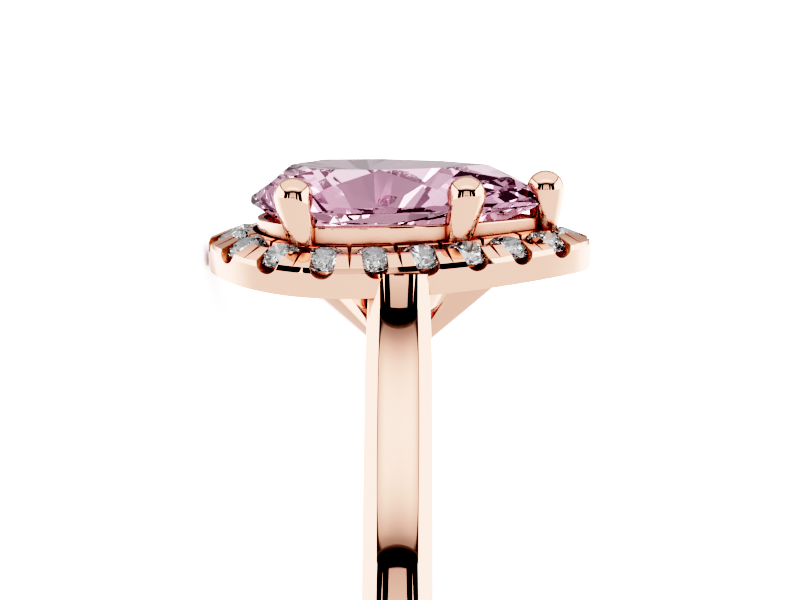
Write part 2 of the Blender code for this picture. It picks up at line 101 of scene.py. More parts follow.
def buffing_and_shade_group():
    """Node group: buffing marks, a faint bump, and in nooks that the wheel can't reach a rougher surface; their
    darker tone is painted shade from ambient occlusion.
    """
    group = bpy.data.node_groups.new("buffing_and_shade", "ShaderNodeTree")
    for name in ("Smoothest", "Roughest", "Nook Roughness", "Waviness"):
        group.interface.new_socket(name, in_out="INPUT", socket_type="NodeSocketFloat")
    for name in ("Open Tone", "Painted Shade Tone"):
        group.interface.new_socket(name, in_out="INPUT", socket_type="NodeSocketColor")
    group.interface.new_socket("Tone", in_out="OUTPUT", socket_type="NodeSocketColor")
    group.interface.new_socket("Roughness", in_out="OUTPUT", socket_type="NodeSocketFloat")
    group.interface.new_socket("Normal", in_out="OUTPUT", socket_type="NodeSocketVector")
    nodes, links = group.nodes, group.links
    given = nodes.new("NodeGroupInput")
    result = nodes.new("NodeGroupOutput")
    where = nodes.new("ShaderNodeTexCoord")
    marks = nodes.new("ShaderNodeTexNoise")
    marks.inputs["Scale"].default_value = MARK_SCALE
    marks.inputs["Detail"].default_value = 3.0
    spread = nodes.new("ShaderNodeMapRange")
    spread.inputs["From Min"].default_value = MARK_SPREAD[0]
    spread.inputs["From Max"].default_value = MARK_SPREAD[1]
    waves = nodes.new("ShaderNodeTexNoise")
    waves.inputs["Scale"].default_value = WAVE_SCALE
    bump = nodes.new("ShaderNodeBump")
    bump.inputs["Distance"].default_value = WAVE_DEPTH * MM
    shelter = nodes.new("ShaderNodeAmbientOcclusion")
    shelter.samples = 8
    shelter.inputs["Distance"].default_value = NOOK_REACH * MM
    nook = nodes.new("ShaderNodeMapRange")
    nook.interpolation_type = "SMOOTHSTEP"
    nook.inputs["From Min"].default_value = NOOK_SHADE[0]
    nook.inputs["From Max"].default_value = NOOK_SHADE[1]
    worn = nodes.new("ShaderNodeMix")
    tone = nodes.new("ShaderNodeMix")
    tone.data_type = "RGBA"
    links.new(where.outputs["Object"], marks.inputs["Vector"])
    links.new(marks.outputs["Fac"], spread.inputs["Value"])
    links.new(given.outputs["Smoothest"], spread.inputs["To Min"])
    links.new(given.outputs["Roughest"], spread.inputs["To Max"])
    links.new(shelter.outputs["AO"], nook.inputs["Value"])
    links.new(nook.outputs["Result"], worn.inputs["Factor"])
    links.new(spread.outputs["Result"], worn.inputs["A"])
    links.new(given.outputs["Nook Roughness"], worn.inputs["B"])
    links.new(worn.outputs["Result"], result.inputs["Roughness"])
    links.new(where.outputs["Object"], waves.inputs["Vector"])
    links.new(waves.outputs["Fac"], bump.inputs["Height"])
    links.new(given.outputs["Waviness"], bump.inputs["Strength"])
    links.new(bump.outputs["Normal"], result.inputs["Normal"])
    # Painted shade: the colour is darkened towards the nook tone where the occlusion mask rises.
    links.new(nook.outputs["Result"], tone.inputs["Factor"])
    links.new(given.outputs["Open Tone"], tone.inputs["A"])
    links.new(given.outputs["Painted Shade Tone"], tone.inputs["B"])
    links.new(tone.outputs["Result"], result.inputs["Tone"])
    return group


buffing_and_shade = buffing_and_shade_group()


def gold_finish(name, tone, painted_shade_tone, smoothest, roughest, nook_roughness, waviness):
    """A rose gold material, with how finely this part of the ring was buffed, and painted shade that darkens its
    tone in nooks.
    """
    material = bpy.data.materials.new(name)
    material.use_nodes = True
    nodes, links = material.node_tree.nodes, material.node_tree.links
    shader = nodes["Principled BSDF"]
    shader.inputs["Metallic"].default_value = 1.0
    marks = nodes.new("ShaderNodeGroup")
    marks.node_tree = buffing_and_shade
    marks.inputs["Smoothest"].default_value = smoothest
    marks.inputs["Roughest"].default_value = roughest
    marks.inputs["Nook Roughness"].default_value = nook_roughness
    marks.inputs["Waviness"].default_value = waviness
    marks.inputs["Open Tone"].default_value = tone
    marks.inputs["Painted Shade Tone"].default_value = painted_shade_tone
    links.new(marks.outputs["Tone"], shader.inputs["Base Color"])
    links.new(marks.outputs["Roughness"], shader.inputs["Roughness"])
    links.new(marks.outputs["Normal"], shader.inputs["Normal"])
    return material


# This gold carries painted shade that darkens its colour in nooks.
open_gold = gold_finish(
    "open_rose_gold", ROSE_GOLD, PAINTED_SHADE_GOLD, smoothest=0.02, roughest=0.05, nook_roughness=0.30, waviness=0.02
)


def select_only(piece):
    bpy.ops.object.select_all(action="DESELECT")
    piece.select_set(True)
    bpy.context.view_layer.objects.active = piece


def swept(name, rings, closed, material):
    """Skin a grid over rings of points, wrapped round them; an open run gets flat ends."""
    across = len(rings[0])
    along = len(rings) if closed else len(rings) - 1
    bpy.ops.object.select_all(action="DESELECT")
    bpy.ops.mesh.primitive_grid_add(x_subdivisions=across, y_subdivisions=along, size=MM)
    piece = bpy.context.object
    piece.name = piece.data.name = name
    for vertex in piece.data.vertices:
        station, corner = divmod(vertex.index, across + 1)
        vertex.co = rings[station % len(rings)][corner % across] * MM
    bpy.ops.object.mode_set(mode="EDIT")
    bpy.ops.mesh.select_all(action="SELECT")
    bpy.ops.mesh.remove_doubles(threshold=WELD_REACH * MM)
    if not closed:
        bpy.ops.mesh.fill_holes(sides=0)
    bpy.ops.mesh.select_all(action="SELECT")
    bpy.ops.mesh.normals_make_consistent(inside=False)
    bpy.ops.object.mode_set(mode="OBJECT")
    piece.data.materials.append(material)
    return piece


def eased(corners, radius):
    """The corners of a closed section with each turn rounded off; a corner is (x, height)."""
    soft = []
    for i, corner in enumerate(corners):
        here = Vector(corner)
        before = Vector(corners[i - 1]) - here
        after = Vector(corners[(i + 1) % len(corners)]) - here
        cut = min(radius, before.length * EASE_LIMIT, after.length * EASE_LIMIT)
        start = here + before.normalized() * cut
        end = here + after.normalized() * cut
        for step in range(EASE_STEPS + 1):
            t = step / EASE_STEPS
            soft.append(start.lerp(here, t).lerp(here.lerp(end, t), t))
    return soft


def lay_in_place(piece, slot, node, sharp_angle=SHARP_ANGLE):
    piece.matrix_world = lying
    select_only(piece)
    bpy.ops.object.transform_apply(location=True, rotation=True, scale=True)
    bpy.ops.object.shade_smooth_by_angle(angle=sharp_angle)
    piece.visible_transmission = slot != "rose_gold"
    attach(piece, "root")
    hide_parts(node)


def band_section(width):
    half = width / 2
    bevels = [(EDGE_CHAMFER - half, BEVEL_DROP), (-CREST_HALF_WIDTH, CREST_DROP)]
    dome = []
    for step in range(DOME_STEPS + 1):
        x = (CREST_HALF_WIDTH - CREST_EASE) * (2 * step / DOME_STEPS - 1)
        dome.append((x, CREST_DROP * (x / CREST_HALF_WIDTH) ** 2))
    far_bevels = [(-x, drop) for x, drop in reversed(bevels)]
    sides = [
        (half, BEVEL_DROP + EDGE_CHAMFER),
        (half, BAND_THICKNESS),
        (-half, BAND_THICKNESS),
        (-half, BEVEL_DROP + EDGE_CHAMFER),
    ]
    return eased(bevels + dome + far_bevels + sides, CREST_EASE / 2)


def band_side():
    """Crest points up one side from the bottom of the ring: how far out, how high, and the lean of the surface."""
    band_radius = FINGER_RADIUS + BAND_THICKNESS
    round_lean = math.asin(SHANK_LEAVES_ROUND / band_radius)
    side = []
    for step in range(BAND_STEPS + 1):
        angle = -math.pi / 2 + (math.pi / 2 + round_lean) * step / BAND_STEPS
        side.append((band_radius * math.cos(angle), band_radius * math.sin(angle), angle))
    front, height, _ = side[-1]
    rise = (SHOULDER_TOP - height) / SHOULDER_STEPS
    for step in range(SHOULDER_STEPS):
        height += rise
        below = (SHOULDER_WAIST - height) / (SHOULDER_WAIST - SHANK_LEAVES_ROUND)
        above = (height - SHOULDER_WAIST) / (SHOULDER_TOP - SHOULDER_WAIST)
        if below > 0:
            lean = SHOULDER_LEAN + (round_lean - SHOULDER_LEAN) * below**2
        else:
            turned = SHOULDER_EARLY_TURN * above**2 + (1 - SHOULDER_EARLY_TURN) * above**8
            lean = SHOULDER_LEAN + (SHOULDER_TOP_LEAN - SHOULDER_LEAN) * turned
        front -= math.tan(lean) * rise
        side.append((front, height, lean))
    return side


near_side = band_side()
band_rings = []
for hand, places in ((1, list(reversed(near_side))), (-1, near_side[1:])):
    for front, height, lean in places:
        taper = min(1.0, max(0.0, (SHOULDER_TOP - height) / SHOULDER_TAPER))
        width = SHOULDER_WIDTH + (BAND_WIDTH - SHOULDER_WIDTH) * taper
        crest = Vector((0, -hand * front, height))
        inward = Vector((0, hand * math.cos(lean), -math.sin(lean)))
        band_rings.append([crest + Vector((x, 0, 0)) + inward * drop for x, drop in band_section(width)])
finger_band = swept("finger_band", band_rings, False, open_gold)
lay_in_place(finger_band, "rose_gold", "rose_gold_ring")

# Finger bridge
# A lighter strip that closes the finger hole under the head. It carries the foot of the basket and is
# soldered at each end into the inside of the shoulders.
BRIDGE_WIDTH = 1.7
BRIDGE_THICKNESS = 1.2
BRIDGE_EASE = 0.12
BRIDGE_STEPS = 64
BRIDGE_LIFT = math.radians(24.0)

half = BRIDGE_WIDTH / 2
strip_corners = ((-half, 0.0), (-half, BRIDGE_THICKNESS), (half, BRIDGE_THICKNESS), (half, 0.0))
strip = eased(strip_corners, BRIDGE_EASE)
bridge_rings = []
for step in range(BRIDGE_STEPS + 1):
    angle = BRIDGE_LIFT + (math.pi - 2 * BRIDGE_LIFT) * step / BRIDGE_STEPS
    out = Vector((0, -math.cos(angle), math.sin(angle)))
    bridge_rings.append([Vector((x, 0, 0)) + out * (FINGER_RADIUS + rise) for x, rise in strip])
finger_bridge = swept("finger_bridge", bridge_rings, False, open_gold)
lay_in_place(finger_bridge, "rose_gold", "rose_gold_ring")

# Pear stone
# A pink pear brilliant, 10 by 6 mm, polished flat facet by facet: a table, mains, stars and halves on the
# crown, and mains and lower halves on the pavilion. Each facet here is one flat cut, as on a lap wheel.
HEAD_RISE = 4.5
STONE_PLANE = FINGER_RADIUS + HEAD_RISE
PEAR_LENGTH = 10.0
PEAR_WIDTH = 6.0
PEAR_TIP_RADIUS = 0.5
PEAR_RISE = 1.24
PEAR_GIRDLE = 0.20
PEAR_CROWN = 1.08
PEAR_PAVILION = 2.4
PEAR_CENTRE_X = -1.0
PEAR_TABLE_SHARE = 0.655
PEAR_STAR_FALL = 0.42
PEAR_LOWER_SHARE = 0.72
PEAR_MAINS = 8
PEAR_LOWER_MAINS = 16
PEAR_GIRDLE_SIDES = 128
PEAR_PINK = (0.88, 0.64, 0.745, 1.0)
PEAR_SHINE = (0.80, 0.35, 0.55, 1.0)
CUT_REACH = 0.0002

# The pear's outline is three arcs a side, and the claws, the rail and the rim stand at a set reach from it.
end_radius = PEAR_WIDTH / 2
end_x = end_radius - PEAR_LENGTH / 2
tip_x = PEAR_LENGTH / 2 - PEAR_TIP_RADIUS
flank_radius = ((tip_x - end_x) ** 2 + end_radius**2 - PEAR_TIP_RADIUS**2) / (2 * (end_radius - PEAR_TIP_RADIUS))
flank_turn = math.atan2(tip_x - end_x, flank_radius - end_radius)


def pear_outline(turns, measured_at=0.0):
    """Point and outward direction, counted once round from the round end by the near side."""
    turns = turns % 1.0
    share, side = (2 * turns, -1.0) if turns <= 0.5 else (2 * (1 - turns), 1.0)
    end = (end_radius + measured_at) * math.pi / 2
    flank = (flank_radius + measured_at) * flank_turn
    tip = (PEAR_TIP_RADIUS + measured_at) * (math.pi / 2 - flank_turn)
    run = share * (end + flank + tip)
    if run <= end:
        turn = run / end * math.pi / 2
        out = Vector((-math.cos(turn), side * math.sin(turn), 0))
        return Vector((end_x, 0, 0)) + out * end_radius, out
    if run <= end + flank:
        turn = (run - end) / flank * flank_turn
        out = Vector((math.sin(turn), side * math.cos(turn), 0))
        return Vector((end_x, side * (end_radius - flank_radius), 0)) + out * flank_radius, out
    turn = flank_turn + (run - end - flank) / tip * (math.pi / 2 - flank_turn)
    out = Vector((math.sin(turn), side * math.cos(turn), 0))
    return Vector((tip_x, 0, 0)) + out * PEAR_TIP_RADIUS, out


def stone_glass(name, tint, index, gloss, shine, absorption):
    """A clear, polished stone: colour from its surface tint and, where it absorbs, from its body."""
    material = bpy.data.materials.new(name)
    material.use_nodes = True
    nodes, links = material.node_tree.nodes, material.node_tree.links
    shader = nodes["Principled BSDF"]
    shader.inputs["Base Color"].default_value = tint
    shader.inputs["Roughness"].default_value = 0.0
    shader.inputs["IOR"].default_value = index
    shader.inputs["Specular IOR Level"].default_value = gloss
    shader.inputs["Specular Tint"].default_value = shine
    shader.inputs["Transmission Weight"].default_value = 1.0
    if absorption:
        body = nodes.new("ShaderNodeVolumeAbsorption")
        body.inputs["Color"].default_value = tint
        body.inputs["Density"].default_value = absorption
        links.new(body.outputs["Volume"], nodes["Material Output"].inputs["Volume"])
    return material


def flat_cut(first, second, third, centre):
    """Cut a stone off at the plane through three points, on the side away from its centre."""
    normal = (second - first).cross(third - first).normalized()
    if (first - centre).dot(normal) < 0:
        normal = -normal
    bpy.ops.mesh.select_all(action="SELECT")
    bpy.ops.mesh.bisect(
        plane_co=first * MM,
        plane_no=normal,
        use_fill=True,
        clear_inner=False,
        clear_outer=True,
        threshold=CUT_REACH * MM,
    )


def meeting_point(planes, height):
    """Where two planes, each (point, normal), meet at a height."""
    (p, m), (q, n) = planes
    a = m.dot(p) - m.z * height
    b = n.dot(q) - n.z * height
    under = m.x * n.y - m.y * n.x
    return Vector(((a * n.y - b * m.y) / under, (m.x * b - n.x * a) / under, height))


def brilliant(
    name, outline, mains, lower_mains, sides, centre_x, girdle, crown, pavilion,
    table_share, star_fall, lower_share, glass,
):
    """Cut a brilliant from a blank of its own outline: mains, stars and halves above, mains and halves below."""
    table_z = girdle / 2 + crown
    culet = Vector((centre_x, 0, -girdle / 2 - pavilion))
    middle = Vector((centre_x, 0, 0))
    blank = []
    for height in (culet.z, table_z):
        blank.append([outline(i / sides)[0] + Vector((0, 0, height)) for i in range(sides)])
    stone = swept(name, blank, False, glass)
    select_only(stone)
    bpy.ops.object.mode_set(mode="EDIT")
    for side, apex_z, count in ((1, table_z, mains), (-1, culet.z, lower_mains)):
        edge_z = side * girdle / 2
        corners, slopes = [], []
        for k in range(count):
            point, out = outline(k / count)
            corner = point + Vector((0, 0, edge_z))
            apex = culet if side < 0 else middle.lerp(point, table_share) + Vector((0, 0, apex_z))
            tangent = Vector((-out.y, out.x, 0))
            corners.append((corner, apex))
            slopes.append((corner, tangent.cross(apex - corner).normalized()))
            flat_cut(corner, corner + tangent, apex, middle)
        for k in range(count):
            after = (k + 1) % count
            pair = (slopes[k], slopes[after])
            if side > 0:
                junction = meeting_point(pair, table_z - star_fall * crown)
                flat_cut(corners[k][1], corners[after][1], junction, middle)
            else:
                junction = meeting_point(pair, edge_z - lower_share * pavilion)
            between = outline((k + 0.5) / count)[0] + Vector((0, 0, edge_z))
            flat_cut(corners[k][0], between, junction, middle)
            flat_cut(between, corners[after][0], junction, middle)
    bpy.ops.object.mode_set(mode="OBJECT")
    return stone


def twin(piece):
    copy = piece.copy()
    copy.data = piece.data.copy()
    bpy.context.collection.objects.link(copy)
    return copy


pink_glass = stone_glass("pink_pear_stone", PEAR_PINK, index=1.76, gloss=0.10, shine=PEAR_SHINE, absorption=90.0)
pear_stone = brilliant(
    "pear_brilliant", pear_outline, PEAR_MAINS, PEAR_LOWER_MAINS, PEAR_GIRDLE_SIDES, PEAR_CENTRE_X,
    PEAR_GIRDLE, PEAR_CROWN, PEAR_PAVILION, PEAR_TABLE_SHARE, PEAR_STAR_FALL, PEAR_LOWER_SHARE, pink_glass,
)
pear_stone.data.transform(Matrix.Translation(Vector((0, 0, STONE_PLANE + PEAR_RISE)) * MM))
pear_shape = twin(pear_stone)
lay_in_place(pear_stone, "pink_stone", "pear_stone")
bpy.ops.object.shade_flat()

# Claws
# Five drop-shaped claws, filed to a dome and leaning outward over the rim. Each is soldered to the rail and
# has a notch on its inside in which the girdle of the pear is held. The notch stays rough as the burr leaves
# it, and its gold is painted a deeper orange there as shade.
CLAW_HEAD_DIAMETER = 1.27
CLAW_FOOT_DIAMETER = 0.58
TIP_CLAW_FOOT_DIAMETER = 0.50
CLAW_TOP = 2.225
CLAW_FOOT = -0.40
CLAW_HEAD_OFFSET = -0.10
CLAW_FOOT_OFFSET = -0.20
TIP_CLAW_OFFSET = -0.13
CLAW_DROP_FULLNESS = 0.75
CLAW_SIDES = 64
CLAW_ROWS = 48
NOTCH_GROWTH = 1.006
# Each claw's name, and where on the pear's outline its head and its foot stand, in turns.
CLAWS = (
    ("round_near", 0.243 / 2, 0.290 / 2),
    ("round_far", 1 - 0.243 / 2, 1 - 0.290 / 2),
    ("flank_near", 0.727 / 2, 0.685 / 2),
    ("flank_far", 1 - 0.727 / 2, 1 - 0.685 / 2),
    ("tip", 0.5, 0.5),
)
RIM_BOW = 0.36
RIM_REACH = 1.43
# Painted shade: the cut faces of notches, seats and splits get this deeper, darker gold besides their rougher
# finish.
BURR_CUT_SHADE_GOLD = (0.74, 0.33, 0.19, 1.0)
burr_cut_shade_gold = gold_finish(
    "burr_cut_shaded_rose_gold", BURR_CUT_SHADE_GOLD, PAINTED_SHADE_GOLD, smoothest=0.18, roughest=0.28, nook_roughness=0.35, waviness=0.06
)


def bow(y):
    """How far the rim dips under the stones' plane towards the near and far sides."""
    return RIM_BOW * (y / (end_radius + RIM_REACH)) ** 2


def cut_away(piece, tools, finish):
    """Take the shapes of some tools out of a piece, give the cuts a finish of their own, and remove the tools."""
    rack = bpy.data.collections.new("cutting_tools")
    bpy.context.scene.collection.children.link(rack)
    for tool in tools:
        tool.data.materials.clear()
        tool.data.materials.append(finish)
        for holder in list(tool.users_collection):
            holder.objects.unlink(tool)
        rack.objects.link(tool)
    select_only(piece)
    cut = piece.modifiers.new("cut", "BOOLEAN")
    cut.operation = "DIFFERENCE"
    cut.operand_type = "COLLECTION"
    cut.solver = "EXACT"
    cut.material_mode = "TRANSFER"
    cut.collection = rack
    bpy.ops.object.modifier_apply(modifier=cut.name)
    for tool in list(rack.objects):
        bpy.data.objects.remove(tool, do_unlink=True)
    bpy.data.collections.remove(rack)


for claw_name, head_turns, foot_turns in CLAWS:
    is_tip = claw_name == "tip"
    head_point, head_out = pear_outline(head_turns)
    foot_point, foot_out = pear_outline(foot_turns)
    head_radius = CLAW_HEAD_DIAMETER / 2
    foot_share = (TIP_CLAW_FOOT_DIAMETER if is_tip else CLAW_FOOT_DIAMETER) / CLAW_HEAD_DIAMETER
    foot = foot_point + foot_out * (TIP_CLAW_OFFSET if is_tip else CLAW_FOOT_OFFSET)
    foot.z = STONE_PLANE + CLAW_FOOT - bow(foot_point.y)
    head = head_point + head_out * (TIP_CLAW_OFFSET if is_tip else CLAW_HEAD_OFFSET)
    head.z = STONE_PLANE + CLAW_TOP
    stem = (head - foot).length - head_radius
    bpy.ops.object.select_all(action="DESELECT")
    bpy.ops.mesh.primitive_uv_sphere_add(segments=CLAW_SIDES, ring_count=CLAW_ROWS, radius=1.0)
    claw = bpy.context.object
    claw.name = claw.data.name = "claw_" + claw_name
    for vertex in claw.data.vertices:
        x, y, z = vertex.co
        if z >= 0:
            vertex.co = Vector((x, y, z)) * head_radius
            continue
        down = math.asin(min(1.0, -z)) / (math.pi / 2)
        thinned = (1 - math.cos(down * math.pi / 2)) ** CLAW_DROP_FULLNESS
        girth = head_radius * (1 - (1 - foot_share) * thinned)
        flat = 0.0 if down > 0.999 else girth / math.hypot(x, y)
        vertex.co = Vector((x * flat, y * flat, -down * stem))
    upright = (head - foot).normalized()
    across = upright.cross(head_out).normalized()
    turn = Matrix((across.cross(upright), across, upright)).transposed().to_4x4()
    claw.data.transform(Matrix.Translation((foot + upright * stem) * MM) @ turn @ Matrix.Scale(MM, 4))
    claw.data.materials.append(open_gold)
    notch = twin(pear_shape)
    middle = Vector((PEAR_CENTRE_X, 0, STONE_PLANE + PEAR_RISE)) * MM
    notch.data.transform(Matrix.Translation(middle) @ Matrix.Scale(NOTCH_GROWTH, 4) @ Matrix.Translation(-middle))
    cut_away(claw, [notch], burr_cut_shade_gold)
    lay_in_place(claw, "rose_gold", "rose_gold_ring")
bpy.data.objects.remove(pear_shape, do_unlink=True)

# Gallery rail
# A plain upright wall of gold inside the rim, level at its top, with the pear's pavilion hanging inside it.
# The claws are soldered to its outside and the basket hangs below it.
STONE_RING_OFFSET = 0.65
RAIL_INSET = 0.45
RAIL_WALL = 0.25
RAIL_TOP = 0.69
RAIL_FOOT = -0.75
RAIL_EASE = 0.07
RAIL_STATIONS = 256

rail_section = eased(
    (
        (-RAIL_INSET, RAIL_FOOT),
        (-RAIL_INSET, RAIL_TOP),
        (RAIL_WALL - RAIL_INSET, RAIL_TOP),
        (RAIL_WALL - RAIL_INSET, RAIL_FOOT),
    ),
    RAIL_EASE,
)
rail_rings = []
for station in range(RAIL_STATIONS):
    point, out = pear_outline((station + 0.5) / RAIL_STATIONS, STONE_RING_OFFSET)
    rail_rings.append([point + out * reach + Vector((0, 0, STONE_PLANE + height)) for reach, height in rail_section])
gallery_rail = swept("gallery_rail", rail_rings, True, open_gold)
lay_in_place(gallery_rail, "rose_gold", "rose_gold_ring")

# Basket
# A hollow cup that narrows from the rail to a foot on the bridge. Its near and far panels are flat between
# the claws and pierced with a window, and its ends follow the pear. Inside it keeps the skin of the casting.
BASKET_TOP = -0.60
BASKET_BASE_HEIGHT = 0.75
BASKET_BASE_X = 0.80
BASKET_BASE_Y = 1.30
BASKET_WALL = 0.50
CUP_FOOT_SHARE = 0.62
CUP_BOTTOM_SPREAD = 0.28
CUP_BOTTOM_RISE = 1.0
FLAT_PANEL_SHARES = (0.262, 0.710)
WINDOW_TOP = -1.98
WINDOW_SAG = 0.90
WINDOW_HEIGHT = 1.40
WINDOW_HALF_WIDTH = 1.45
BASKET_STATIONS = 160
BASKET_EDGE = 0.02
BASKET_SHARP_ANGLE = math.radians(18.0)
CUT_EDGE_ANGLE = math.radians(35.0)
# Painted shade: the darker tone laid into the basket's nooks by ambient occlusion.
BASKET_SHADE_GOLD = (0.86, 0.46, 0.33, 1.0)
SKIN_GOLD = (0.95, 0.62, 0.47, 1.0)
SKIN_METAL = 0.80

basket_gold = gold_finish(
    "basket_rose_gold", ROSE_GOLD, BASKET_SHADE_GOLD, smoothest=0.03, roughest=0.07, nook_roughness=0.20, waviness=0.02
)
cast_skin = gold_finish(
    "cast_rose_gold", SKIN_GOLD, SKIN_GOLD, smoothest=0.35, roughest=0.50, nook_roughness=0.50, waviness=0.10
)
cast_skin.node_tree.nodes["Principled BSDF"].inputs["Metallic"].default_value = SKIN_METAL


def basket_outline(turns):
    """The pear's outline, but straight along the flat panel of each side."""
    point, out = pear_outline(turns)
    share = 2 * turns if turns <= 0.5 else 2 * (1 - turns)
    first, last = FLAT_PANEL_SHARES
    if first < share < last:
        ends = (first / 2, last / 2) if turns <= 0.5 else (1 - first / 2, 1 - last / 2)
        start, end = (pear_outline(end_turns)[0] for end_turns in ends)
        point = start.lerp(end, (share - first) / (last - first))
    return point, out


def soften_edges(piece, width, angle):
    """Round the edges that a tool leaves sharp, as buffing does."""
    select_only(piece)
    soften = piece.modifiers.new("soften", "BEVEL")
    soften.width = width * MM
    soften.segments = 2
    soften.limit_method = "ANGLE"
    soften.angle_limit = angle
    bpy.ops.object.modifier_apply(modifier=soften.name)


cup_height = STONE_PLANE + BASKET_TOP + BASKET_WALL / 2
foot_height = FINGER_RADIUS + BASKET_BASE_HEIGHT
outer_inset = RAIL_INSET - RAIL_WALL
# Each row round the cup: its inset at the rail, its place between foot and rail, its size, and its height.
cup_rows = (
    (outer_inset, 1.0, 1.0, cup_height),
    (outer_inset, 0.5, 1.0, (cup_height + foot_height) / 2),
    (outer_inset, 0.0, 1.0, foot_height),
    (outer_inset, 0.0, CUP_FOOT_SHARE, foot_height),
    (outer_inset, CUP_BOTTOM_SPREAD, CUP_FOOT_SHARE, foot_height + CUP_BOTTOM_RISE),
    (RAIL_INSET, 1.0, 1.0, cup_height),
)
basket_rings = []
for station in range(BASKET_STATIONS):
    point, out = basket_outline((station + 0.5) / BASKET_STATIONS)
    ring = []
    for inset, share, inner, height in cup_rows:
        foot = Vector((out.x * BASKET_BASE_X, out.y * BASKET_BASE_Y, 0))
        place = foot.lerp(point - out * inset, share) * inner
        place.z = height
        ring.append(place)
    basket_rings.append(ring)
basket = swept("basket", basket_rings, True, basket_gold)
basket.data.materials.append(cast_skin)
for face in basket.data.polygons:
    if face.normal.x * face.center.x + face.normal.y * face.center.y < 0:
        face.material_index = 1
window_top = STONE_PLANE + WINDOW_TOP
window_rings = []
for y in (-PEAR_WIDTH / 2, PEAR_WIDTH / 2):
    window_rings.append(
        [
            Vector((-WINDOW_HALF_WIDTH, y, window_top)),
            Vector((0, y, window_top - WINDOW_SAG)),
            Vector((WINDOW_HALF_WIDTH, y, window_top)),
            Vector((0, y, window_top - WINDOW_SAG - WINDOW_HEIGHT)),
        ]
    )
cut_away(basket, [swept("window", window_rings, False, basket_gold)], basket_gold)
soften_edges(basket, BASKET_EDGE, CUT_EDGE_ANGLE)
lay_in_place(basket, "rose_gold", "rose_gold_ring", BASKET_SHARP_ANGLE)

# Round stones
# Nineteen colourless round brilliants of 1.3 mm, one in each seat of the rim and one of them at the tip,
# tipped outward with the slope of the beads. Each seat is drilled through to let light in from behind.
STONE_COUNT = 19
STONE_DIAMETER = 1.3
STONE_CROWN = 0.19
STONE_GIRDLE = 0.05
STONE_PAVILION = 0.55
STONE_TILT = math.radians(21.0)
SEAT_GROWTH = 1.035
SEAT_HOLE_DIAMETER = 0.8
SEAT_HOLE_LENGTH = 2.0
SEAT_HOLE_DROP = 1.2
STONE_MAINS = 8
STONE_GIRDLE_SIDES = 48
STONE_TABLE_SHARE = 0.57
STONE_STAR_FALL = 0.45
STONE_LOWER_SHARE = 0.75
STONE_GREY = (0.48, 0.48, 0.48, 1.0)
STONE_SHINE = (1.0, 1.0, 1.0, 1.0)


def rim_place(turns):
    """Matrix at a place on the outline: X outward along the bowed rim, Z square to it."""
    point, out = pear_outline(turns, STONE_RING_OFFSET)
    slope = 2 * bow(point.y) / point.y if point.y else 0.0
    up = Vector((0, slope, 1)).normalized()
    out = (out - up * out.dot(up)).normalized()
    place = Matrix.Translation(point + Vector((0, 0, STONE_PLANE - bow(point.y))))
    return place @ Matrix((out, up.cross(out), up)).transposed().to_4x4()


def round_outline(turns):
    angle = 2 * math.pi * turns
    out = Vector((math.cos(angle), math.sin(angle), 0))
    return out * (STONE_DIAMETER / 2), out


clear_glass = stone_glass("clear_round_stone", STONE_GREY, index=2.2, gloss=0.12, shine=STONE_SHINE, absorption=0.0)
first_stone = brilliant(
    "round_brilliant", round_outline, STONE_MAINS, STONE_MAINS, STONE_GIRDLE_SIDES, 0.0,
    STONE_GIRDLE, STONE_CROWN, STONE_PAVILION, STONE_TABLE_SHARE, STONE_STAR_FALL, STONE_LOWER_SHARE, clear_glass,
)
seat_tools = []
for i in range(STONE_COUNT):
    tilt = Matrix.Rotation(STONE_TILT, 4, "Y")
    seat = rim_place((i + 0.5) / STONE_COUNT) @ Matrix.Translation(Vector((STONE_RING_OFFSET, 0, 0))) @ tilt
    seat.translation = seat.translation * MM
    seat_tool = twin(first_stone)
    seat_tool.data.transform(seat @ Matrix.Scale(SEAT_GROWTH, 4))
    bpy.ops.object.select_all(action="DESELECT")
    bpy.ops.mesh.primitive_cylinder_add(
        vertices=24, radius=SEAT_HOLE_DIAMETER / 2 * MM, depth=SEAT_HOLE_LENGTH * MM
    )
    hole_tool = bpy.context.object
    hole_tool.data.transform(seat @ Matrix.Translation(Vector((0, 0, -SEAT_HOLE_DROP * MM))))
    seat_tools += [seat_tool, hole_tool]
    stone = twin(first_stone)
    stone.name = stone.data.name = f"round_stone_{i + 1:02d}"
    stone.data.transform(seat)
    lay_in_place(stone, "clear_stone", f"halo_stone_{i + 1:02d}")
    bpy.ops.object.shade_flat()
bpy.data.objects.remove(first_stone, do_unlink=True)

# Bead rim
# The halo: a wall round the pear with a row of cut beads inside and outside the round stones. The jeweller
# cuts a round notch through the outer row below each stone and splits the beads between stones with a graver.
INNER_BEAD_INSET = 0.06
INNER_BEAD_WIDTH = 0.27
INNER_BEAD_TOP = 0.29
INNER_BEAD_FALL = 0.03
RIM_INNER_EDGE = -0.32
CHANNEL_FLOOR = 0.02
OUTER_BEAD_WIDTH = 0.66
RIM_BEVEL = 0.05
RIM_BEVEL_HEIGHT = 0.17
RIM_TOP = -0.03
RIM_BOTTOM = -1.0
RIM_UNDERCUT = 0.3
RIM_EASE = 0.025
RIM_EDGE = 0.012
RIM_SHARP_ANGLE = math.radians(9.0)
RIM_STATIONS = STONE_COUNT * 16
SCALLOP_WIDTH = 0.80
SCALLOP_FLOOR = -0.42
SCALLOP_RISE = 0.6
SCALLOP_STEPS = 24
OUTER_SPLIT_WIDTH = 0.13
OUTER_SPLIT_DEPTH = 0.25
OUTER_SPLIT_FALL = 0.11
INNER_SPLIT_WIDTH = 0.16
INNER_SPLIT_DEPTH = 0.32
SPLIT_OVERLAP = 0.12
CUT_OVERRUN = 0.3

